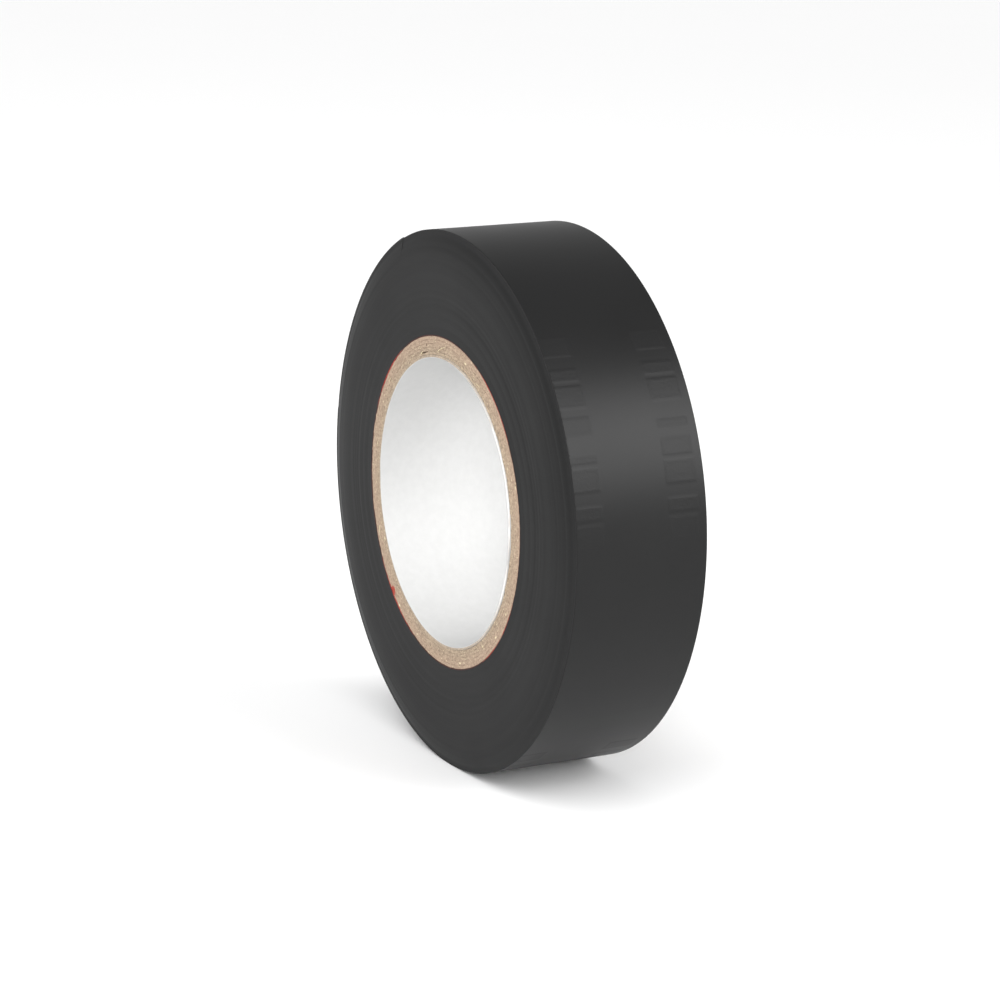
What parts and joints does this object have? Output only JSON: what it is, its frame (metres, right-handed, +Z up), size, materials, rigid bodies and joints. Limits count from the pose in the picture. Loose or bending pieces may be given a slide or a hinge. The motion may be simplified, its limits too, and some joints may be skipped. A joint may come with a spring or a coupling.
{
  "type": "electrical tape roll",
  "caption": "Roll of black insulating tape wound on a paper core, standing on its rim, with a free end that peels off the roll.",
  "frame": {"origin": "centre of the core's bore, at half the roll's width", "axes": "+Y along the bore, from the front face to the back face; +Z up; the roll stands on its rim"},
  "size_m": [0.0714, 0.019, 0.0713],
  "materials": {
    "liner_paper": "smooth white paper",
    "chipboard": "raw grey-brown board, cut end grain",
    "wrap_paper": "red printed paper",
    "tape_edge": "matte, slit edges of the wound turns",
    "tape_film": "satin PVC film",
    "adhesive": "tacky, glossy black"
  },
  "bodies": {
    "roll": {"core_liner": "liner_paper", "core_ply_1": "chipboard", "core_ply_2": "chipboard", "core_ply_3": "chipboard", "core_ply_4": "chipboard", "core_ply_5": "chipboard", "core_wrap": "wrap_paper", "tape_pack": "tape_edge", "last_turn_adhesive": "adhesive", "last_turn_film": "tape_film"},
    "tail_1": {"tail_film_1": "tape_film", "tail_adhesive_1": "adhesive"},
    "tail_2": {"tail_film_2": "tape_film", "tail_adhesive_2": "adhesive"},
    "tail_3": {"tail_film_3": "tape_film", "tail_adhesive_3": "adhesive"},
    "tail_4": {"tail_film_4": "tape_film", "tail_adhesive_4": "adhesive"},
    "tail_5": {"tail_film_5": "tape_film", "tail_adhesive_5": "adhesive"},
    "tail_6": {"tail_film_6": "tape_film", "tail_adhesive_6": "adhesive"}
  },
  "joints": [
    {"name": "tail_peel_1", "type": "hinge", "parent": "roll", "child": "tail_1", "pos_m": [-0.03518, 0, 0.00639], "axis": [0, -1, 0], "range_deg": [0, 28]},
    {"name": "tail_peel_2", "type": "hinge", "parent": "tail_1", "child": "tail_2", "pos_m": [-0.03362, 0, 0.01218], "axis": [0, -1, 0], "range_deg": [0, 28]},
    {"name": "tail_peel_3", "type": "hinge", "parent": "tail_2", "child": "tail_3", "pos_m": [-0.03112, 0, 0.01763], "axis": [0, -1, 0], "range_deg": [0, 28]},
    {"name": "tail_peel_4", "type": "hinge", "parent": "tail_3", "child": "tail_4", "pos_m": [-0.02774, 0, 0.02258], "axis": [0, -1, 0], "range_deg": [0, 28]},
    {"name": "tail_peel_5", "type": "hinge", "parent": "tail_4", "child": "tail_5", "pos_m": [-0.02358, 0, 0.0269], "axis": [0, -1, 0], "range_deg": [0, 28]},
    {"name": "tail_peel_6", "type": "hinge", "parent": "tail_5", "child": "tail_6", "pos_m": [-0.01875, 0, 0.03046], "axis": [0, -1, 0], "range_deg": [0, 28]}
  ],
  "couplings": [
    {"joint": "tail_peel_2", "follows": "tail_peel_1", "ratio": 1},
    {"joint": "tail_peel_3", "follows": "tail_peel_1", "ratio": 1},
    {"joint": "tail_peel_4", "follows": "tail_peel_1", "ratio": 1},
    {"joint": "tail_peel_5", "follows": "tail_peel_1", "ratio": 1},
    {"joint": "tail_peel_6", "follows": "tail_peel_1", "ratio": 1}
  ]
}
